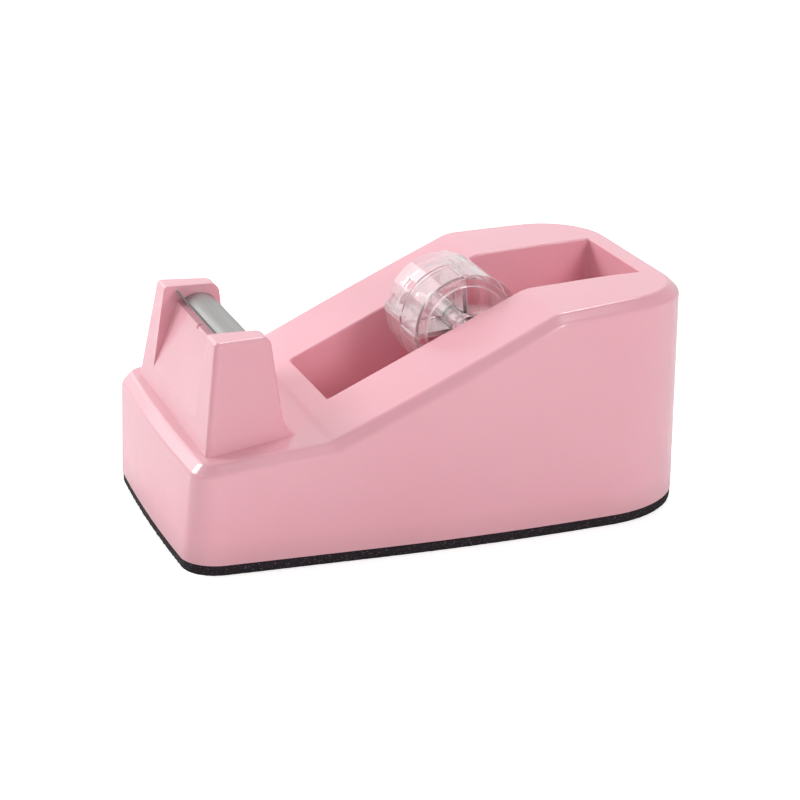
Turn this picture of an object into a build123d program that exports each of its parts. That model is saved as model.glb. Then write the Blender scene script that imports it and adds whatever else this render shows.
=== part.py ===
"""Desk tape dispenser: weighted moulded body, foam foot, steel cutter and a lift-out clear hub.

Millimetres, +Z up. X runs from the cutter end (-X) to the rear (+X), Y across the width.
The origin is on the ground under the middle of the body.
"""
import os
from math import cos, radians, sin

from build123d import *

# Foot and base
PAD_THICK = 2.3
PAD_INSET = 0.15
PLATE_THICK = 2.0
PLATE_GAP = 0.15

# Longer than the part is wide or high: reach of the cuts that go right through
THROUGH = 80.0

# Outer shell: the plan at the foot and the plan above the highest point
FOOT_FRONT_X = -58.5
FOOT_REAR_X = 61.2
FOOT_HALF_WIDTH = 35.6
HEAD_Z = 54.0
HEAD_FRONT_X = -55.3
HEAD_REAR_X = 56.8
HEAD_HALF_WIDTH = 40.4
FOOT_FRONT_RADIUS = 8.0
FOOT_REAR_RADIUS = 26.0
HEAD_FRONT_RADIUS = 1.5
HEAD_REAR_RADIUS = 18.0
FRONT_BOW = 1.1
SIDE_BOW_X = -17.0
SIDE_BOW_DROP = 6.8
WALL = 2.6
EDGE_BEVEL = 2.2
EDGE_SOFTEN = 1.5

# Side profile of the top surface, from beyond the front to beyond the rear
DECK_FRONT_X = -70.0
DECK_FRONT_Z = 23.4
KNEE_X = -27.6
KNEE_Z = 27.5
KNEE_RADIUS = 6.0
BEND_X = 22.7
BEND_Z = 51.2
BEND_RADIUS = 9.0
CROWN_X = 38.0
CROWN_Z = 52.3
TAIL_X = 62.0
TAIL_Z = 52.6

# Wheel well
WELL_FRONT_X = -22.5
WELL_REAR_X = 50.5
WELL_HALF_WIDTH = 15.3
WELL_TAPER = 1.0
WELL_FLOOR_Z = 6.8
WELL_REAR_RADIUS = 1.0
WELL_FRONT_RADIUS = 1.0
WELL_WALL = 2.2
WELL_LIP_RADIUS = 0.5

# Cutter tower
TOWER_TOP_Z = 48.3
TOWER_BASE_Z = 22.0
TOWER_TOP_FRONT_X = -50.1
TOWER_TOP_REAR_X = -37.6
TOWER_FRONT_LEAN = 0.155
TOWER_REAR_MID_X = -35.8
TOWER_REAR_MID_Z = 31.5
TOWER_FLARE_X = -32.3
TOWER_FLARE_Z = 26.7
TOWER_TOP_HALF = 26.7
TOWER_SIDE_LEAN = 0.17
TOWER_SIDE_TAPER = 0.16
TOWER_EDGE_RADIUS = 1.1
TOWER_REAR_RADIUS = 2.2
EAR_INNER_Y = 19.3
PANEL_FOOT_X = -52.9
PANEL_FOOT_Z = 30.0
PANEL_TOP_X = -47.1
PANEL_TOP_Z = 44.6
PANEL_SINK = 0.15
SEAT_REAR_X = -38.9
SEAT_REAR_Z = 44.8
SEAT_CROWN_X = -42.2
SEAT_CROWN_Z = 46.0
SEAT_VALLEY_X = -45.7
SEAT_VALLEY_Z = 44.8
SEAT_RUN_OUT = 6.0
SEAT_RUN_OUT_DROP = 10.0
GAP_FRONT_X = -60.0
GAP_FOOT_Z = 26.0

# Nick in the middle of the panel's top edge
NOTCH_WIDTH = 0.9
NOTCH_DEPTH = 0.8

# Cutter
BLADE_THICK = 0.4
BLADE_HALF = 19.15
BLADE_TIP_X = -47.6
BLADE_TIP_Z = 47.4
TOOTH_PITCH = 1.0
TOOTH_DEPTH = 0.8
TOOTH_ROOT = 0.05
BLADE_LIFT = 0.03
BLADE_REAR_X = -39.05
BLADE_REAR_Z = 45.0

# Wheel and its axle
AXLE_X = 11.9
AXLE_Z = 41.2
AXLE_RADIUS = 2.0
AXLE_HALF = 14.3
AXLE_END_CHAMFER = 0.4
BORE_RADIUS = 2.08
HUB_RADIUS = 3.3
HUB_HALF = 10.8
DRUM_RADIUS = 12.7
DRUM_WALL = 1.3
DRUM_HALF = 10.2
RIB_RADIUS = 13.0
RIB_WIDTH = 1.7
RIB_DEPTH = 1.2
RIM_RADIUS = 9.8
RIM_THICK = 1.3
SPLIT_Y = -0.6
SPLIT_GROOVE = 0.8
SPOKES = 4
SPOKE_THICK = 1.2
SPOKE_TURN = 5.0
SPOKE_SETBACK = 1.6
WINDOW_TURNS = (51, 141, 231, 321)
WINDOW_LENGTH = 5.2
WINDOW_WIDTH = 2.2
WINDOW_Y = 3.4
SLOT_CLEARANCE = 0.15
SLOT_HEIGHT = 6.0
CRADLE_INNER_Y = 11.3
CRADLE_HALF = 4.2
CRADLE_TOP_Z = 43.2
CRADLE_WAIST_Z = 36.2
CRADLE_FOOT_Z = 26.0
CRADLE_DEPTH = 4.4

# Ballast blocks in the hollow
BALLAST_Z = 4.5
BALLAST_FRONT_X = -39.0
BALLAST_FRONT_LENGTH = 27.0
BALLAST_FRONT_WIDTH = 48.0
BALLAST_FRONT_HEIGHT = 16.0
BALLAST_INNER_Y = 18.2
BALLAST_SIDE_DEPTH = 11.5
BALLAST_REAR_X = 34.0
BALLAST_DROP = 6.0
BALLAST_FRONT_DROP = 4.0
BALLAST_CORNER = 3.0
BALLAST_EDGE = 0.8

# Screws through the base plate
SCREW_SPOTS = [(-49.0, 28.8), (-49.0, -28.8), (39.0, 26.5), (39.0, -26.5)]
BOSS_RADIUS = 3.6
SCREW_RADIUS = 1.3
SCREW_HEAD_RADIUS = 2.6
SCREW_LENGTH = 11.0
SCREW_TAPER = 0.05
SCREW_POINT = 1.4
SCREW_SINK = 0.1
PILOT_CLEARANCE = 0.02
PLATE_HOLE_CLEARANCE = 0.3


def plan(front_x, rear_x, half_width, front_radius, rear_radius):
    """Plan outline as a face: slightly bowed front, straight rear, sides drawn in towards the rear."""
    with BuildSketch() as outline:
        with BuildLine():
            for side in (1, -1):
                shoulder = (SIDE_BOW_X, side * half_width)
                heel = (rear_x, side * (half_width - SIDE_BOW_DROP))
                Line((front_x, side * half_width), shoulder)
                TangentArc(shoulder, heel, tangent=(1, 0))
            ThreePointArc((front_x, half_width), (front_x - FRONT_BOW, 0), (front_x, -half_width))
            Line((rear_x, half_width - SIDE_BOW_DROP), (rear_x, SIDE_BOW_DROP - half_width))
        make_face()
        corners = outline.vertices().sort_by(Axis.X)
        fillet(corners[:2], front_radius)
        fillet(outline.vertices().sort_by(Axis.X)[-2:], rear_radius)
    return outline.sketch


def foot_plan(inset):
    """Plan at the foot, moved in by inset on every side."""
    return plan(
        FOOT_FRONT_X + inset,
        FOOT_REAR_X - inset,
        FOOT_HALF_WIDTH - inset,
        FOOT_FRONT_RADIUS - inset,
        FOOT_REAR_RADIUS - inset,
    )


def head_plan(inset):
    """Plan at HEAD_Z, moved in by inset on every side."""
    return plan(
        HEAD_FRONT_X + inset,
        HEAD_REAR_X - inset,
        HEAD_HALF_WIDTH - inset,
        max(HEAD_FRONT_RADIUS - inset, 1.0),
        HEAD_REAR_RADIUS - inset,
    )


def side_profile(drop):
    """Region under the top surface, lowered by drop, on the X-Z plane."""
    with BuildSketch(Plane.XZ) as region:
        with BuildLine():
            top = Polyline(
                (DECK_FRONT_X, DECK_FRONT_Z - drop),
                (KNEE_X, KNEE_Z - drop),
                (BEND_X, BEND_Z - drop),
                (CROWN_X, CROWN_Z - drop),
            )
            TangentArc((CROWN_X, CROWN_Z - drop), (TAIL_X, TAIL_Z - drop), tangent=top % 1)
            Polyline((TAIL_X, TAIL_Z - drop), (TAIL_X, 0), (DECK_FRONT_X, 0), top @ 0)
        make_face()
        knee = region.vertices().sort_by_distance((KNEE_X, KNEE_Z - drop, 0))[0]
        fillet(knee, KNEE_RADIUS)
        bend = region.vertices().sort_by_distance((BEND_X, BEND_Z - drop, 0))[0]
        fillet(bend, BEND_RADIUS)
    return region.sketch


def tower_profile():
    """Side outline of the cutter tower on the X-Z plane, with its hollow flare at the back."""
    rise = TOWER_TOP_Z - TOWER_BASE_Z
    with BuildSketch(Plane.XZ) as region:
        with BuildLine():
            Polyline(
                (TOWER_FLARE_X, TOWER_BASE_Z),
                (TOWER_TOP_FRONT_X - rise * TOWER_FRONT_LEAN, TOWER_BASE_Z),
                (TOWER_TOP_FRONT_X, TOWER_TOP_Z),
                (TOWER_TOP_REAR_X, TOWER_TOP_Z),
                (TOWER_REAR_MID_X, TOWER_REAR_MID_Z),
            )
            TangentArc(
                (TOWER_REAR_MID_X, TOWER_REAR_MID_Z),
                (TOWER_FLARE_X, TOWER_FLARE_Z),
                tangent=(TOWER_REAR_MID_X - TOWER_TOP_REAR_X, TOWER_REAR_MID_Z - TOWER_TOP_Z),
            )
            Line((TOWER_FLARE_X, TOWER_FLARE_Z), (TOWER_FLARE_X, TOWER_BASE_Z))
        make_face()
        rear_top = region.vertices().sort_by_distance((TOWER_TOP_REAR_X, TOWER_TOP_Z, 0))[0]
        fillet(rear_top, TOWER_REAR_RADIUS)
    return region.sketch


def gap_profile():
    """Region cut between the ears: in front of the leaning panel and above the cutter seat."""
    panel_run = PANEL_TOP_X - PANEL_FOOT_X
    panel_rise = PANEL_TOP_Z - PANEL_FOOT_Z
    with BuildSketch(Plane.XZ) as region:
        with BuildLine():
            ThreePointArc(
                (SEAT_VALLEY_X, SEAT_VALLEY_Z),
                (SEAT_CROWN_X, SEAT_CROWN_Z),
                (SEAT_REAR_X, SEAT_REAR_Z),
            )
            Polyline(
                (SEAT_REAR_X, SEAT_REAR_Z),
                (SEAT_REAR_X + SEAT_RUN_OUT, SEAT_REAR_Z - SEAT_RUN_OUT_DROP),
                (SEAT_REAR_X + SEAT_RUN_OUT, HEAD_Z),
                (GAP_FRONT_X, HEAD_Z),
                (GAP_FRONT_X, GAP_FOOT_Z),
                (PANEL_FOOT_X - PANEL_SINK * panel_run, PANEL_FOOT_Z - PANEL_SINK * panel_rise),
                (PANEL_TOP_X, PANEL_TOP_Z),
                (SEAT_VALLEY_X, SEAT_VALLEY_Z),
            )
        make_face()
    return region.sketch


def tower_side_plane(side):
    """Side face of the tower: it leans in upwards and draws in towards the rear."""
    return Plane(
        origin=(TOWER_TOP_FRONT_X, side * TOWER_TOP_HALF, TOWER_TOP_Z),
        x_dir=(0, -TOWER_SIDE_LEAN, side),
        z_dir=(TOWER_SIDE_TAPER, side, TOWER_SIDE_LEAN),
    )


def well_plan(margin):
    """Plan of the wheel well at HEAD_Z, grown by margin."""
    with BuildSketch() as outline:
        middle = (WELL_FRONT_X + WELL_REAR_X) / 2
        with Locations((middle, 0)):
            Rectangle(WELL_REAR_X - WELL_FRONT_X + 2 * margin, 2 * (WELL_HALF_WIDTH + margin))
        corners = outline.vertices().sort_by(Axis.X)
        fillet(corners[-2:], WELL_REAR_RADIUS + margin)
        fillet(outline.vertices().sort_by(Axis.X)[:2], WELL_FRONT_RADIUS + margin)
    return outline.sketch


def is_top_edge(edge):
    """Whether an edge of the blank runs round the outside of its top surface."""
    middle = edge.center()
    along = edge.tangent_at(0.5)
    steep = abs(along.Z) > 0.6
    crease = abs(along.Y) > 0.999 and HEAD_FRONT_X + 2 < middle.X < HEAD_REAR_X - 2
    return middle.Z > TOWER_BASE_Z - 2 and not steep and not crease


def is_well_lip(edge):
    """Whether an edge of the well runs round its mouth."""
    steep = abs(edge.tangent_at(0.5).Z) > 0.8
    return edge.center().Z > TOWER_BASE_Z and not steep


def is_tower_corner(edge):
    """Whether an edge belongs to the upper part of the tower and not to its rear foot."""
    middle = edge.center()
    return middle.Z > TOWER_FLARE_Z + 3 and middle.X < TOWER_REAR_MID_X


def is_bevel_rim(edge):
    """Whether an edge borders the bevel along its length, as opposed to crossing it."""
    middle = edge.center()
    return middle.Z > TOWER_BASE_Z - 2 and edge.length > 2 * EDGE_BEVEL


# The cutter tower, before it is joined to the body.
with BuildPart() as tower:
    extrude(tower_profile(), amount=THROUGH, both=True)
    for side in (1, -1):
        split(bisect_by=tower_side_plane(side), keep=Keep.BOTTOM)
    fillet(tower.edges().filter_by(is_tower_corner), TOWER_EDGE_RADIUS)
    extrude(gap_profile(), amount=EAR_INNER_Y, both=True, mode=Mode.SUBTRACT)
    with Locations((PANEL_TOP_X, 0, PANEL_TOP_Z)):
        Box(2 * NOTCH_DEPTH, NOTCH_WIDTH, 2 * NOTCH_DEPTH, mode=Mode.SUBTRACT)

# The hollow under the shell: everything more than a wall away from the outside and the well.
with BuildPart() as hollow:
    with BuildSketch(Plane.XY.offset(PAD_THICK)):
        add(foot_plan(WALL))
    with BuildSketch(Plane.XY.offset(HEAD_Z)):
        add(head_plan(WALL))
    loft(ruled=True)
    extrude(side_profile(WALL), amount=THROUGH, both=True, mode=Mode.INTERSECT)
    with BuildSketch(Plane.XY.offset(HEAD_Z)):
        add(well_plan(WELL_WALL))
    extrude(amount=-(HEAD_Z - WELL_FLOOR_Z + WELL_WALL), taper=WELL_TAPER, mode=Mode.SUBTRACT)
    for x, y in SCREW_SPOTS:
        with BuildSketch(Plane.XY.offset(PAD_THICK + PLATE_THICK)):
            with Locations((x, y)):
                Circle(BOSS_RADIUS)
        extrude(amount=HEAD_Z, mode=Mode.SUBTRACT)

# The one-piece moulded body: shell, tower, well and the two cradles for the axle.
with BuildPart() as body_shell:
    with BuildSketch(Plane.XY.offset(PAD_THICK)):
        add(foot_plan(0))
    with BuildSketch(Plane.XY.offset(HEAD_Z)):
        add(head_plan(0))
    loft(ruled=True)
    extrude(side_profile(0), amount=THROUGH, both=True, mode=Mode.INTERSECT)
    chamfer(body_shell.edges().filter_by(is_top_edge), EDGE_BEVEL)
    bevel_edges = body_shell.edges(Select.LAST)
    fillet(bevel_edges.filter_by(is_bevel_rim), EDGE_SOFTEN)
    add(tower.part)
    with BuildSketch(Plane.XY.offset(HEAD_Z)):
        add(well_plan(0))
    extrude(amount=-(HEAD_Z - WELL_FLOOR_Z), taper=WELL_TAPER, mode=Mode.SUBTRACT)
    well_edges = body_shell.edges(Select.LAST)
    fillet(well_edges.filter_by(is_well_lip), WELL_LIP_RADIUS)
    add(hollow.part, mode=Mode.SUBTRACT)
    for side in (1, -1):
        with BuildSketch(Plane.XZ.offset(-side * CRADLE_INNER_Y)):
            with BuildLine():
                Polyline(
                    (AXLE_X - CRADLE_HALF, CRADLE_TOP_Z),
                    (AXLE_X + CRADLE_HALF, CRADLE_TOP_Z),
                    (AXLE_X + CRADLE_HALF, CRADLE_WAIST_Z),
                    (AXLE_X, CRADLE_FOOT_Z),
                    (AXLE_X - CRADLE_HALF, CRADLE_WAIST_Z),
                    close=True,
                )
            make_face()
            with Locations((AXLE_X, AXLE_Z)):
                Circle(AXLE_RADIUS + SLOT_CLEARANCE, mode=Mode.SUBTRACT)
            with Locations((AXLE_X, AXLE_Z + SLOT_HEIGHT / 2)):
                Rectangle(2 * (AXLE_RADIUS + SLOT_CLEARANCE), SLOT_HEIGHT, mode=Mode.SUBTRACT)
        extrude(amount=-side * CRADLE_DEPTH)
    for x, y in SCREW_SPOTS:
        with BuildSketch(Plane.XY.offset(PAD_THICK + PLATE_THICK)):
            with Locations((x, y)):
                Circle(SCREW_RADIUS + PILOT_CLEARANCE)
        extrude(amount=SCREW_LENGTH, mode=Mode.SUBTRACT)
body_shell.part.label = "body_shell"

# Flat plate that closes the shell from below, flush with its rim, countersunk for four screws.
with BuildPart() as base_plate:
    with BuildSketch(Plane.XY.offset(PAD_THICK)):
        add(foot_plan(WALL + PLATE_GAP))
    extrude(amount=PLATE_THICK)
    with Locations(Plane.XY.offset(PAD_THICK) * Rotation(180, 0, 0)):
        with Locations([(x, -y) for x, y in SCREW_SPOTS]):
            CounterSinkHole(
                SCREW_RADIUS + PLATE_HOLE_CLEARANCE,
                SCREW_HEAD_RADIUS + PLATE_HOLE_CLEARANCE,
                counter_sink_angle=90,
            )
base_plate.part.label = "base_plate"

# Foam foot: one die-cut sheet under the whole base.
with BuildPart() as foam_pad:
    with BuildSketch():
        add(foot_plan(PAD_INSET))
    extrude(amount=PAD_THICK)
foam_pad.part.label = "foam_pad"

# Four countersunk screws, one node.
with BuildPart() as base_screws:
    head_z = PAD_THICK + SCREW_SINK
    for x, y in SCREW_SPOTS:
        with BuildSketch(Plane(origin=(x, y, 0), x_dir=(1, 0, 0), z_dir=(0, -1, 0))):
            with BuildLine():
                Polyline(
                    (0, head_z),
                    (SCREW_HEAD_RADIUS, head_z),
                    (SCREW_RADIUS, head_z + SCREW_HEAD_RADIUS - SCREW_RADIUS),
                    (SCREW_RADIUS - SCREW_TAPER, head_z + SCREW_LENGTH - SCREW_POINT),
                    (0, head_z + SCREW_LENGTH),
                    close=True,
                )
            make_face()
        revolve(axis=Axis((x, y, 0), (0, 0, 1)))
base_screws.part.label = "base_screws"

# Ballast: one block under the deck, one wedge on each side of the well.
with BuildPart() as ballast_front:
    with BuildSketch(Plane.XY.offset(BALLAST_Z)):
        with Locations((BALLAST_FRONT_X, 0)):
            RectangleRounded(BALLAST_FRONT_LENGTH, BALLAST_FRONT_WIDTH, BALLAST_CORNER)
    extrude(amount=BALLAST_FRONT_HEIGHT)
    chamfer(ballast_front.faces().sort_by(Axis.Z)[-1].edges(), BALLAST_EDGE)
ballast_front.part.label = "ballast_front"


def side_ballast(side):
    """Wedge that fills the hollow beside the well, its top following the slope."""
    with BuildPart() as wedge:
        with BuildSketch(Plane.XZ.offset(-side * BALLAST_INNER_Y)):
            with BuildLine():
                Polyline(
                    (WELL_FRONT_X, BALLAST_Z),
                    (BALLAST_REAR_X, BALLAST_Z),
                    (BALLAST_REAR_X, BEND_Z - BALLAST_DROP),
                    (BEND_X, BEND_Z - BALLAST_DROP),
                    (WELL_FRONT_X, KNEE_Z - BALLAST_FRONT_DROP),
                    close=True,
                )
            make_face()
        extrude(amount=-side * BALLAST_SIDE_DEPTH)
        chamfer(wedge.edges().filter_by(Axis.Y), BALLAST_EDGE)
    return wedge.part


ballast_near = side_ballast(-1)
ballast_near.label = "ballast_near"
ballast_far = side_ballast(1)
ballast_far.label = "ballast_far"

# Cutter: a thin steel strip, arched over its seat, with a fine toothed lip along the front.
with BuildPart() as cutter_blade:
    lip_run = BLADE_TIP_X - SEAT_VALLEY_X
    lip_rise = BLADE_TIP_Z - SEAT_VALLEY_Z - BLADE_LIFT
    lip_length = (lip_run**2 + lip_rise**2) ** 0.5
    with BuildSketch(Plane.XZ):
        for lift, mode in ((BLADE_LIFT + BLADE_THICK, Mode.ADD), (BLADE_LIFT, Mode.SUBTRACT)):
            with BuildLine():
                ThreePointArc(
                    (SEAT_VALLEY_X, SEAT_VALLEY_Z + lift),
                    (SEAT_CROWN_X, SEAT_CROWN_Z + lift),
                    (BLADE_REAR_X, BLADE_REAR_Z + lift),
                )
                Polyline(
                    (BLADE_REAR_X, BLADE_REAR_Z + lift),
                    (BLADE_REAR_X, SEAT_REAR_Z - 1),
                    (SEAT_VALLEY_X, SEAT_REAR_Z - 1),
                    (SEAT_VALLEY_X, SEAT_VALLEY_Z + lift),
                )
            make_face(mode=mode)
    extrude(amount=BLADE_HALF, both=True)
    lip = Plane(
        origin=(SEAT_VALLEY_X, 0, SEAT_VALLEY_Z + BLADE_LIFT),
        x_dir=(0, 1, 0),
        z_dir=(lip_rise, 0, -lip_run),
    )
    with BuildSketch(lip):
        with Locations((0, (lip_length - TOOTH_DEPTH) / 2)):
            Rectangle(2 * BLADE_HALF, lip_length - TOOTH_DEPTH)
        tooth_count = int(2 * BLADE_HALF / TOOTH_PITCH)
        with Locations((0, lip_length - TOOTH_DEPTH)):
            with GridLocations(TOOTH_PITCH, 1, tooth_count, 1):
                Polygon(
                    (-TOOTH_PITCH / 2, -TOOTH_ROOT),
                    (TOOTH_PITCH / 2, -TOOTH_ROOT),
                    (0, TOOTH_DEPTH),
                    align=None,
                )
    extrude(amount=BLADE_THICK)
cutter_blade.part.label = "cutter_blade"


def drum_half(side):
    """One half of the hub: drum with grip ribs, rim, four spokes and a bored centre tube.

    The tubes and spokes of the two halves meet at the split; the drum walls leave a groove there.
    """
    reach = DRUM_HALF - side * SPLIT_Y
    width = reach - SPLIT_GROOVE / 2
    inner_y = SPLIT_Y + side * SPLIT_GROOVE / 2
    spoke_middle = (DRUM_RADIUS + HUB_RADIUS - DRUM_WALL / 2) / 2
    with BuildPart() as half:
        at_inner = Plane(origin=(AXLE_X, inner_y, AXLE_Z), x_dir=(1, 0, 0), z_dir=(0, side, 0))
        at_split = Plane(origin=(AXLE_X, SPLIT_Y, AXLE_Z), x_dir=(1, 0, 0), z_dir=(0, side, 0))
        with BuildSketch(at_inner):
            Circle(DRUM_RADIUS)
            Circle(DRUM_RADIUS - DRUM_WALL, mode=Mode.SUBTRACT)
        extrude(amount=width)
        with BuildSketch(at_inner):
            with PolarLocations(RIB_RADIUS - RIB_DEPTH / 2, SPOKES, start_angle=SPOKE_TURN):
                Rectangle(RIB_DEPTH, RIB_WIDTH)
        extrude(amount=width)
        with BuildSketch(at_inner.offset(width - RIM_THICK)):
            Circle(DRUM_RADIUS - DRUM_WALL / 2)
            Circle(RIM_RADIUS, mode=Mode.SUBTRACT)
        extrude(amount=RIM_THICK)
        with BuildSketch(at_split):
            with PolarLocations(spoke_middle, SPOKES, start_angle=SPOKE_TURN):
                Rectangle(DRUM_RADIUS - HUB_RADIUS, SPOKE_THICK)
        extrude(amount=reach - SPOKE_SETBACK)
        with BuildSketch(at_split):
            Circle(HUB_RADIUS)
        extrude(amount=HUB_HALF - DRUM_HALF + reach)
        with BuildSketch(at_split):
            Circle(BORE_RADIUS)
        extrude(amount=THROUGH, mode=Mode.SUBTRACT)
    return half.part


# Hub, two clear halves: the far one with four narrow windows.
with BuildPart() as wheel_far_half:
    add(drum_half(1))
    for turn in WINDOW_TURNS:
        window = Plane(
            origin=(AXLE_X, WINDOW_Y, AXLE_Z),
            x_dir=(0, 1, 0),
            z_dir=(cos(radians(turn)), 0, sin(radians(turn))),
        )
        with BuildSketch(window.offset(DRUM_RADIUS - 2 * DRUM_WALL)):
            Rectangle(WINDOW_LENGTH, WINDOW_WIDTH)
        extrude(amount=3 * DRUM_WALL, mode=Mode.SUBTRACT)
wheel_far_half.part.label = "wheel_far_half"

with BuildPart() as wheel_near_half:
    add(drum_half(-1))
wheel_near_half.part.label = "wheel_near_half"

# Axle: a plain pin with chamfered ends, dropped into the two cradles.
with BuildPart() as axle_pin:
    with BuildSketch(Plane(origin=(AXLE_X, -AXLE_HALF, AXLE_Z), x_dir=(1, 0, 0), z_dir=(0, 1, 0))):
        Circle(AXLE_RADIUS)
    extrude(amount=2 * AXLE_HALF)
    chamfer(axle_pin.edges().filter_by(GeomType.CIRCLE), AXLE_END_CHAMFER)
axle_pin.part.label = "axle_pin"

os.makedirs("parts", exist_ok=True)
export_step(body_shell.part, "parts/body_shell.step")
export_step(base_plate.part, "parts/base_plate.step")
export_step(foam_pad.part, "parts/foam_pad.step")
export_step(base_screws.part, "parts/base_screws.step")
export_step(ballast_front.part, "parts/ballast_front.step")
export_step(ballast_near, "parts/ballast_near.step")
export_step(ballast_far, "parts/ballast_far.step")
export_step(cutter_blade.part, "parts/cutter_blade.step")
export_step(wheel_far_half.part, "parts/wheel_far_half.step")
export_step(wheel_near_half.part, "parts/wheel_near_half.step")
export_step(axle_pin.part, "parts/axle_pin.step")
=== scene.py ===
"""Looks for the desk tape dispenser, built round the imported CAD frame.

Lengths are metres in the row frame: X runs from the cutter to the rear, Y runs across towards the
far side, and Z is up.
"""
import math

import bmesh
import bpy
from mathutils import Matrix, Vector, noise


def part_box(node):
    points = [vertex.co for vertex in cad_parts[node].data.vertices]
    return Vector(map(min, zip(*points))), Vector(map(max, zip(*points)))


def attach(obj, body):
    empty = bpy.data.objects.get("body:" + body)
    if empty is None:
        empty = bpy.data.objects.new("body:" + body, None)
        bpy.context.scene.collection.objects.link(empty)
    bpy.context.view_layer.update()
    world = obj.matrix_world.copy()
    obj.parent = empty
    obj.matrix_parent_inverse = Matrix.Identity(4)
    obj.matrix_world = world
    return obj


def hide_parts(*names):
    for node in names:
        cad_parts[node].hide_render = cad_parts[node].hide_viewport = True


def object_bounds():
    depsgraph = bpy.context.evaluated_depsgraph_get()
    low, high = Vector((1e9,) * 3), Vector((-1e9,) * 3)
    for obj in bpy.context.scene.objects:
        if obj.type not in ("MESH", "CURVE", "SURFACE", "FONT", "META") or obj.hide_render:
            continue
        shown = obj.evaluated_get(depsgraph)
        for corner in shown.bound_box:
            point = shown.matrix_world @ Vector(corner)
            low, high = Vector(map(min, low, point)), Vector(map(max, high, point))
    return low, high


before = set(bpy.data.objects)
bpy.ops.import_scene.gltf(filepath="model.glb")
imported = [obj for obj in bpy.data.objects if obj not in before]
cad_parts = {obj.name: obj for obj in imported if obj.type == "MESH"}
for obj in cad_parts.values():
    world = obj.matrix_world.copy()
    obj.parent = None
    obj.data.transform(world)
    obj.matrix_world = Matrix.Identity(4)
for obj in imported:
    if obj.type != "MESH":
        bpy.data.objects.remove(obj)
cad_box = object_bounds()

# Camera
CAMERA_AZIMUTH = math.radians(-17.8)
CAMERA_ELEVATION = math.radians(18.5)
CAMERA_ROLL = math.radians(0.14)
CAMERA_DISTANCE = 0.587
CAMERA_TARGET = Vector((-0.0069, 0, 0.020))
CAMERA_LENS = 117.2
CAMERA_SENSOR = 36
CAMERA_SHIFT = (0.0326, 0.0185)

# Strength of the white surround in front of the object, beside it and behind it
WORLD_FRONT = 0.50
WORLD_SIDE = 0.03
WORLD_BACK = 1.0

# Soft boxes, all aimed at one point: name, place, (width, height), power in watts
LIGHT_AIM = (0, 0, 0.02)
SOFT_BOXES = (
    ("back_left", (-0.6, 0.7, 0.5), (0.35, 0.35), 4.8),
    ("left", (-0.85, -0.05, 0.6), (0.30, 0.30), 0.8),
    ("over", (0.29, 0.42, 0.85), (0.26, 0.26), 2.25),
    ("top_front", (0.26, -0.34, 0.88), (0.28, 0.28), 0.75),
    ("back_low", (-0.34, 0.95, 0.35), (0.5, 0.3), 0.6),
    ("side", (0.29, -0.84, 0.42), (0.22, 0.22), 2.2),
)

# Floor, which glows a little, and more to the camera than to the object
FLOOR_RADIUS = 6.0
FLOOR_CORNERS = 96
FLOOR_GAP = 0.00005
FLOOR_GLOW = 0.03
FLOOR_GLOW_SEEN = 0.6

# Foam foot: spacing of points round its edge, levels in its height, and how far the edge wanders
FOAM_STEP = 0.0006
FOAM_ROWS = 6
FOAM_WAVER = 0.00012
FOAM_WAVER_SCALE = 900
FOAM_WAVER_INSET = 0.4
FOAM_BULGE = 0.00010

# Tolerances for reading a flat CAD face
WELD_DISTANCE = 1e-6
LEVEL_TOLERANCE = 1e-5

# Painted shade: the walls darken towards the floor, fading out between these heights
FLOOR_SHADE_LOW = 0.003
FLOOR_SHADE_HIGH = 0.008

# Features per metre along X, Y and Z in the rolled strip, whose lines run along Y
STEEL_GRAIN = (9000, 60, 9000)

# Painted highlight: each clear edge turns pale over this radius, where the rounded and the flat
# normal disagree
EDGE_HIGHLIGHT_RADIUS = 0.00036
EDGE_HIGHLIGHT_CLARITY = 0.03
EDGE_AGREEMENT = (0.85, 0.99)

# Colours, linear
WHITE = (1, 1, 1, 1)
BLACK = (0, 0, 0, 1)
PINK = (0.975, 0.505, 0.58, 1)
PINK_DEEP = (0.96, 0.475, 0.55, 1)
# Colour of the painted shade at the foot of the walls
FLOOR_SHADE = (0.90, 0.94, 0.92, 1)
DARK_LOW = (0.012, 0.011, 0.012, 1)
DARK_HIGH = (0.030, 0.028, 0.030, 1)
FOAM_CELL = (0.030, 0.023, 0.028, 1)
FOAM_WALL = (0.014, 0.010, 0.013, 1)
FOAM_SPECK = (0.22, 0.18, 0.21, 1)
STEEL_LOW = (0.36, 0.352, 0.347, 1)
STEEL_HIGH = (0.44, 0.432, 0.427, 1)
ZINC_LOW = (0.42, 0.42, 0.44, 1)
ZINC_HIGH = (0.60, 0.60, 0.62, 1)
WEIGHT_LOW = (0.20, 0.19, 0.18, 1)
WEIGHT_HIGH = (0.40, 0.38, 0.36, 1)
CLEAR_LOW = (1.0, 0.86, 0.885, 1)
CLEAR_HIGH = (1.0, 0.93, 0.945, 1)
PAPER_LOW = (0.90, 0.90, 0.90, 1)
PAPER_HIGH = (0.93, 0.93, 0.93, 1)

# A Mix node has a set of sockets for each data type, under the same names: these are for colour
MIX_COLOUR_INPUTS = (0, 6, 7)
MIX_COLOUR_OUTPUT = 2


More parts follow.
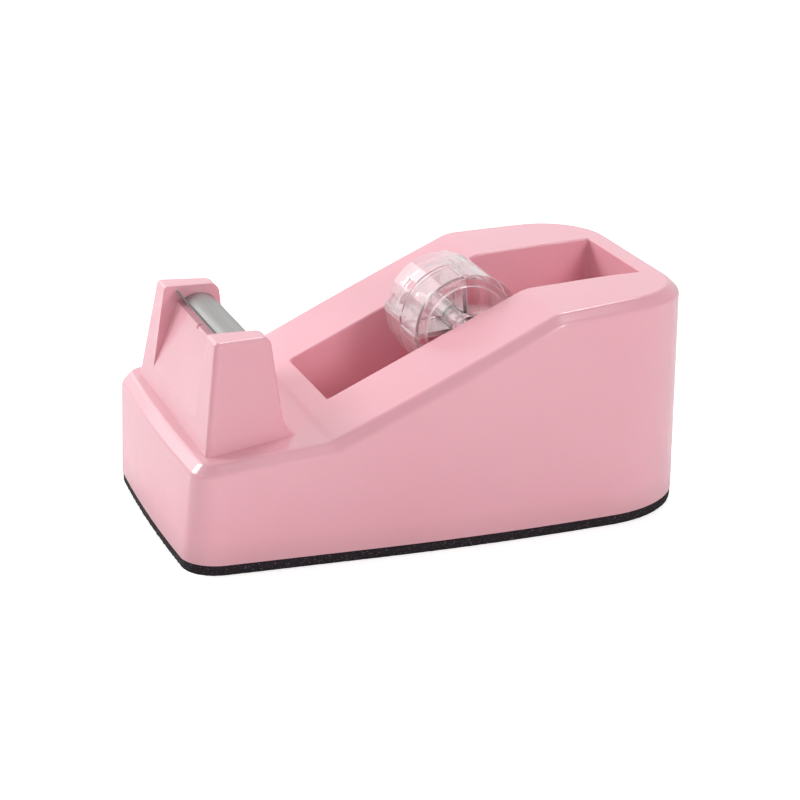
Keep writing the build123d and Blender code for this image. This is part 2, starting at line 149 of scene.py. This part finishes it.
class Nodes:
    """The node tree of a material or world, with short ways to add nodes to it."""

    def __init__(self, owner, shader):
        owner.use_nodes = True
        self.tree = owner.node_tree
        self.shader = self.tree.nodes[shader]

    def add(self, kind, **values):
        """New node; each value goes to the input of that name or to the node's own setting."""
        node = self.tree.nodes.new(kind)
        for key, value in values.items():
            socket = node.inputs.get(key.replace("_", " ").title())
            if socket is not None:
                socket.default_value = value
            else:
                setattr(node, key, value)
        return node

    def link(self, source, target):
        """Joins an output to an input."""
        self.tree.links.new(source, target)

    def feed(self, name, source):
        """Drives the shader's input of that name."""
        self.link(source, self.shader.inputs[name])

    def set(self, values):
        """Sets the shader's inputs to plain values."""
        for name, value in values.items():
            self.shader.inputs[name].default_value = value

    def place(self, kind="Object"):
        """Texture coordinates."""
        return self.add("ShaderNodeTexCoord").outputs[kind]

    def axis(self, place, name):
        """One axis of some coordinates."""
        split = self.add("ShaderNodeSeparateXYZ")
        self.link(place, split.inputs["Vector"])
        return split.outputs[name]

    def noise(self, scale, detail=2.0, roughness=0.5, place=None):
        """Noise; scale is the number of features per metre of the coordinates."""
        texture = self.add("ShaderNodeTexNoise", scale=scale, detail=detail, roughness=roughness)
        if place is None:
            place = self.place()
        self.link(place, texture.inputs["Vector"])
        return texture.outputs["Fac"]

    def cells(self, scale):
        """Distance from the middle of the nearest cell; scale is the number of cells per metre."""
        texture = self.add("ShaderNodeTexVoronoi", scale=scale)
        self.link(self.place(), texture.inputs["Vector"])
        return texture.outputs["Distance"]

    def ramp(self, source, start, end):
        """Colour between two stops, each a position and a colour, driven by source."""
        node = self.add("ShaderNodeValToRGB")
        for element, (position, colour) in zip(node.color_ramp.elements, (start, end)):
            element.position = position
            element.color = colour
        self.link(source, node.inputs["Fac"])
        return node.outputs["Color"]

    def spread(self, source, low, high, start=0.0, end=1.0):
        """Source, running from start to end, mapped to low..high."""
        node = self.add(
            "ShaderNodeMapRange", from_min=start, from_max=end, to_min=low, to_max=high
        )
        self.link(source, node.inputs["Value"])
        return node.outputs["Result"]

    def mix(self, factor, first, second, blend="MIX"):
        """Mix of two colours; each argument is an output or a plain value."""
        node = self.add("ShaderNodeMix", data_type="RGBA", blend_type=blend)
        for index, value in zip(MIX_COLOUR_INPUTS, (factor, first, second)):
            if isinstance(value, bpy.types.NodeSocket):
                self.link(value, node.inputs[index])
            else:
                node.inputs[index].default_value = value
        return node.outputs[MIX_COLOUR_OUTPUT]

    def combine(self, operation, first, second):
        """Arithmetic on two outputs."""
        node = self.add("ShaderNodeMath", operation=operation)
        self.link(first, node.inputs[0])
        self.link(second, node.inputs[1])
        return node.outputs["Value"]

    def bump(self, height, depth, strength, under=None):
        """Bump of the given depth in metres, optionally on top of another one."""
        node = self.add("ShaderNodeBump", distance=depth, strength=strength)
        self.link(height, node.inputs["Height"])
        if under is not None:
            self.link(under, node.inputs["Normal"])
        return node.outputs["Normal"]

    def edge_mask(self, radius, low):
        """1 on open faces, falling to low within radius of an edge."""
        rounded = self.add("ShaderNodeBevel", radius=radius)
        plain = self.add("ShaderNodeNewGeometry")
        agree = self.add("ShaderNodeVectorMath", operation="DOT_PRODUCT")
        self.link(rounded.outputs["Normal"], agree.inputs[0])
        self.link(plain.outputs["Normal"], agree.inputs[1])
        return self.spread(agree.outputs["Value"], low, 1.0, *EDGE_AGREEMENT)


def new_material(name):
    """An empty node material and its nodes."""
    material = bpy.data.materials.new(name)
    return material, Nodes(material, "Principled BSDF")


def pink_plastic():
    """Satin moulded plastic: faint flow and sink marks, painted shade darkening the foot of the
    walls, a fine pebble, uneven gloss.
    """
    material, nodes = new_material("pink_plastic")
    flow = nodes.noise(scale=28, detail=3.0)
    unshaded = nodes.ramp(flow, (0.3, PINK_DEEP), (0.72, PINK))
    # Painted shade: the walls darken towards the floor, standing in for the shadow there
    height = nodes.spread(nodes.axis(nodes.place(), "Z"), 0.0, 1.0, FLOOR_SHADE_LOW, FLOOR_SHADE_HIGH)
    floor_shade = nodes.ramp(height, (0.0, FLOOR_SHADE), (1.0, WHITE))
    nodes.feed("Base Color", nodes.mix(1.0, unshaded, floor_shade, "MULTIPLY"))
    wear = nodes.noise(scale=160, detail=4.0, roughness=0.65)
    nodes.feed("Roughness", nodes.spread(wear, 0.14, 0.26))
    pebble = nodes.bump(nodes.noise(scale=2600), depth=0.000012, strength=0.5)
    sinks = nodes.noise(scale=55, detail=1.0)
    nodes.feed("Normal", nodes.bump(sinks, depth=0.00022, strength=0.35, under=pebble))
    nodes.set({
        "IOR": 1.54,
        "Subsurface Weight": 0.12,
        "Subsurface Radius": (1.0, 0.45, 0.5),
        "Subsurface Scale": 0.0012,
    })
    return material


def dark_plastic():
    """Matte black moulded plastic with a spark-eroded grain."""
    material, nodes = new_material("dark_plastic")
    grain = nodes.noise(scale=1800, detail=4.0, roughness=0.6)
    nodes.feed("Base Color", nodes.ramp(grain, (0.35, DARK_LOW), (0.7, DARK_HIGH)))
    nodes.feed("Roughness", nodes.spread(grain, 0.5, 0.7))
    nodes.feed("Normal", nodes.bump(grain, depth=0.00003, strength=0.6))
    return material


def foam():
    """Closed-cell foam: near black, pitted, with fine pale specks where cells are cut."""
    material, nodes = new_material("foam")
    cells = nodes.cells(scale=3600)
    body = nodes.ramp(cells, (0.15, FOAM_CELL), (0.8, FOAM_WALL))
    specks = nodes.ramp(nodes.noise(scale=3600), (0.64, BLACK), (0.70, WHITE))
    nodes.feed("Base Color", nodes.mix(specks, body, FOAM_SPECK))
    nodes.feed("Normal", nodes.bump(cells, depth=0.00010, strength=0.7))
    nodes.set({"Roughness": 0.86, "Specular IOR Level": 0.3})
    return material


def rolled_steel():
    """Bright rolled strip: fine lines along its length and a soft uneven gloss."""
    material, nodes = new_material("rolled_steel")
    stretch = nodes.add("ShaderNodeMapping", scale=STEEL_GRAIN)
    nodes.link(nodes.place(), stretch.inputs["Vector"])
    lines = nodes.noise(scale=1.0, detail=3.0, place=stretch.outputs["Vector"])
    nodes.feed("Base Color", nodes.ramp(lines, (0.3, STEEL_LOW), (0.7, STEEL_HIGH)))
    nodes.feed("Roughness", nodes.spread(lines, 0.36, 0.5))
    nodes.feed("Normal", nodes.bump(lines, depth=0.000004, strength=0.5))
    nodes.set({"Metallic": 1.0})
    return material


def zinc():
    """Plated screw steel, mottled."""
    material, nodes = new_material("zinc")
    mottle = nodes.noise(scale=1500, detail=3.0)
    nodes.feed("Base Color", nodes.ramp(mottle, (0.3, ZINC_LOW), (0.7, ZINC_HIGH)))
    nodes.feed("Roughness", nodes.spread(mottle, 0.3, 0.5))
    nodes.set({"Metallic": 1.0})
    return material


def cast_weight():
    """Grey cast mineral block, grainy and dull."""
    material, nodes = new_material("cast_weight")
    grain = nodes.noise(scale=700, detail=6.0, roughness=0.7)
    nodes.feed("Base Color", nodes.ramp(grain, (0.3, WEIGHT_LOW), (0.7, WEIGHT_HIGH)))
    nodes.feed("Normal", nodes.bump(grain, depth=0.0003, strength=0.8))
    nodes.set({"Roughness": 0.9})
    return material


def clear_plastic():
    """Clear polystyrene: glossy coat, edges and rims painted pale as a highlight, faint flow
    waves, a trace of haze.
    """
    material, nodes = new_material("clear_plastic")
    haze = nodes.noise(scale=420, detail=3.0)
    nodes.feed("Base Color", nodes.ramp(haze, (0.3, CLEAR_LOW), (0.7, CLEAR_HIGH)))
    nodes.feed("Roughness", nodes.spread(haze, 0.0, 0.03))
    flow = nodes.noise(scale=170, detail=1.0)
    nodes.feed("Normal", nodes.bump(flow, depth=0.00008, strength=0.4))
    glancing = nodes.add("ShaderNodeLayerWeight", blend=0.40)
    clarity = nodes.spread(glancing.outputs["Facing"], 0.98, 0.62)
    # Painted highlight: transmission falls near every edge, so the edges show as pale lines
    edges = nodes.edge_mask(EDGE_HIGHLIGHT_RADIUS, EDGE_HIGHLIGHT_CLARITY)
    nodes.feed("Transmission Weight", nodes.combine("MULTIPLY", clarity, edges))
    nodes.set({"IOR": 1.08, "Coat Weight": 0.9, "Coat IOR": 1.6, "Coat Roughness": 0.05})
    return material


def paper_floor():
    """Pale seamless floor with a faint tooth."""
    material, nodes = new_material("paper_floor")
    tooth = nodes.noise(scale=40, detail=3.0)
    nodes.feed("Base Color", nodes.ramp(tooth, (0.3, PAPER_LOW), (0.7, PAPER_HIGH)))
    seen = nodes.add("ShaderNodeLightPath").outputs["Is Camera Ray"]
    nodes.feed("Emission Strength", nodes.spread(seen, FLOOR_GLOW, FLOOR_GLOW_SEEN))
    nodes.set({"Roughness": 0.9, "Specular IOR Level": 0.1, "Emission Color": WHITE})
    return material


def paint(node, material):
    """Gives a CAD node its material."""
    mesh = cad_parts[node].data
    mesh.materials.clear()
    mesh.materials.append(material)


def finishes():
    """Puts each material on its CAD nodes."""
    for material, nodes in (
        (pink_plastic(), ("body_shell",)),
        (dark_plastic(), ("base_plate",)),
        (clear_plastic(), ("wheel_far_half", "wheel_near_half", "axle_pin")),
        (cast_weight(), ("ballast_front", "ballast_near", "ballast_far")),
        (zinc(), ("base_screws",)),
        (rolled_steel(), ("cutter_blade",)),
    ):
        for node in nodes:
            paint(node, material)


def outline(node):
    """Plan outline of a flat CAD node: the loop round its top face, as (x, y) points in order."""
    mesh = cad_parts[node].data
    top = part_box(node)[1][2]
    flat = bmesh.new()
    flat.from_mesh(mesh)
    bmesh.ops.remove_doubles(flat, verts=flat.verts, dist=WELD_DISTANCE)
    caps = [f for f in flat.faces if all(abs(v.co.z - top) < LEVEL_TOLERANCE for v in f.verts)]
    rim = [e for e in flat.edges if sum(f in caps for f in e.link_faces) == 1]
    beside = {}
    for edge in rim:
        for vert in edge.verts:
            beside.setdefault(vert, []).append(edge.other_vert(vert))
    loop = list(rim[0].verts)
    while True:
        onward = next(v for v in beside[loop[-1]] if v is not loop[-2])
        if onward is loop[0]:
            break
        loop.append(onward)
    points = [(v.co.x, v.co.y) for v in loop]
    flat.free()
    return points


def resample(points, step):
    """Closed loop of points with an even spacing of about step."""
    closed = points + points[:1]
    lengths = [math.dist(a, b) for a, b in zip(closed, closed[1:])]
    total = sum(lengths)
    count = round(total / step)
    result = []
    edge, passed = 0, 0.0
    for index in range(count):
        goal = total * index / count
        while passed + lengths[edge] < goal:
            passed += lengths[edge]
            edge += 1
        share = (goal - passed) / lengths[edge]
        a, b = closed[edge], closed[edge + 1]
        result.append((a[0] + (b[0] - a[0]) * share, a[1] + (b[1] - a[1]) * share))
    return result


def foam_ring(shape, loop, height, swell):
    """One level of the foam's edge: the loop, moved outwards by swell and a small waver."""
    turn = sum(a[0] * b[1] - b[0] * a[1] for a, b in zip(loop, loop[1:] + loop[:1]))
    side = 1 if turn > 0 else -1
    scale = FOAM_WAVER_SCALE
    ring = []
    for index, (x, y) in enumerate(loop):
        ahead = Vector(loop[(index + 1) % len(loop)]) - Vector(loop[index - 1])
        outward = Vector((ahead.y, -ahead.x)).normalized() * side
        wander = noise.noise(Vector((x * scale, y * scale, height * scale)))
        push = swell + FOAM_WAVER * (wander - FOAM_WAVER_INSET)
        ring.append(shape.verts.new((x + outward.x * push, y + outward.y * push, height)))
    return ring


def foam_mesh():
    """Closed sheet inside the CAD foam's box, with smooth sides and flat faces."""
    low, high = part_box("foam_pad")
    loop = resample(outline("foam_pad"), FOAM_STEP)
    shape = bmesh.new()
    rows = []
    for row in range(FOAM_ROWS + 1):
        share = row / FOAM_ROWS
        swell = FOAM_BULGE * (4 * share * (1 - share) - 1)
        rows.append(foam_ring(shape, loop, low[2] + (high[2] - low[2]) * share, swell))
    for lower, upper in zip(rows, rows[1:]):
        for index in range(len(loop)):
            after = (index + 1) % len(loop)
            shape.faces.new((lower[index], lower[after], upper[after], upper[index]))
    shape.faces.new(rows[0][::-1])
    shape.faces.new(rows[-1])
    bmesh.ops.recalc_face_normals(shape, faces=shape.faces)
    mesh = bpy.data.meshes.new("foam_foot")
    shape.to_mesh(mesh)
    shape.free()
    for face in mesh.polygons:
        face.use_smooth = len(face.vertices) == 4
    return mesh


def foam_foot():
    """Die-cut foam sheet: its edge wavers and swells a little between the body and the floor."""
    piece = bpy.data.objects.new("foam_foot", foam_mesh())
    bpy.context.scene.collection.objects.link(piece)
    piece.data.materials.append(foam())
    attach(piece, "housing")
    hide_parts("foam_pad")


def floor():
    """Pale floor, wide enough to fill every view."""
    bpy.ops.mesh.primitive_circle_add(
        vertices=FLOOR_CORNERS, radius=FLOOR_RADIUS, fill_type="NGON"
    )
    ground = bpy.context.object
    ground.name = "floor"
    ground.location.z = cad_box[0][2] - FLOOR_GAP
    ground.data.materials.append(paper_floor())


def surround():
    """White surround: bright behind the object, half as bright in front, dim beside it."""
    world = bpy.data.worlds.new("studio")
    bpy.context.scene.world = world
    nodes = Nodes(world, "Background")
    depth = nodes.axis(nodes.place("Generated"), "Y")
    behind = nodes.spread(depth, WORLD_SIDE, WORLD_BACK)
    before = nodes.spread(depth, 0.0, WORLD_FRONT, end=-1.0)
    nodes.feed("Strength", nodes.combine("ADD", behind, before))
    nodes.set({"Color": WHITE})


def area_light(name, place, size, power):
    """Rectangular soft light at place, turned to the common aim."""
    data = bpy.data.lights.new(name, "AREA")
    data.shape = "RECTANGLE"
    data.size, data.size_y = size
    data.energy = power
    light = bpy.data.objects.new(name, data)
    light.location = place
    light.rotation_mode = "QUATERNION"
    light.rotation_quaternion = (Vector(LIGHT_AIM) - Vector(place)).to_track_quat("-Z", "Y")
    bpy.context.scene.collection.objects.link(light)


def studio():
    """Surround and soft boxes, shown without a film curve."""
    surround()
    for box in SOFT_BOXES:
        area_light(*box)
    bpy.context.scene.view_settings.view_transform = "Standard"


def camera():
    """Long-lens camera that looks down on the near side, from a little towards the cutter."""
    back = Vector((
        math.sin(CAMERA_AZIMUTH) * math.cos(CAMERA_ELEVATION),
        -math.cos(CAMERA_AZIMUTH) * math.cos(CAMERA_ELEVATION),
        math.sin(CAMERA_ELEVATION),
    ))
    right = (-back).cross(Vector((0, 0, 1))).normalized()
    up = right.cross(-back)
    tilt = Matrix.Rotation(CAMERA_ROLL, 3, back)
    turned = Matrix((tilt @ right, tilt @ up, back)).transposed()
    data = bpy.data.cameras.new("camera")
    data.sensor_width = CAMERA_SENSOR
    data.lens = CAMERA_LENS
    data.shift_x, data.shift_y = CAMERA_SHIFT
    viewer = bpy.data.objects.new("camera", data)
    place = Matrix.Translation(CAMERA_TARGET + back * CAMERA_DISTANCE)
    viewer.matrix_world = place @ turned.to_4x4()
    bpy.context.scene.collection.objects.link(viewer)
    bpy.context.scene.camera = viewer


finishes()
foam_foot()
floor()
studio()
camera()
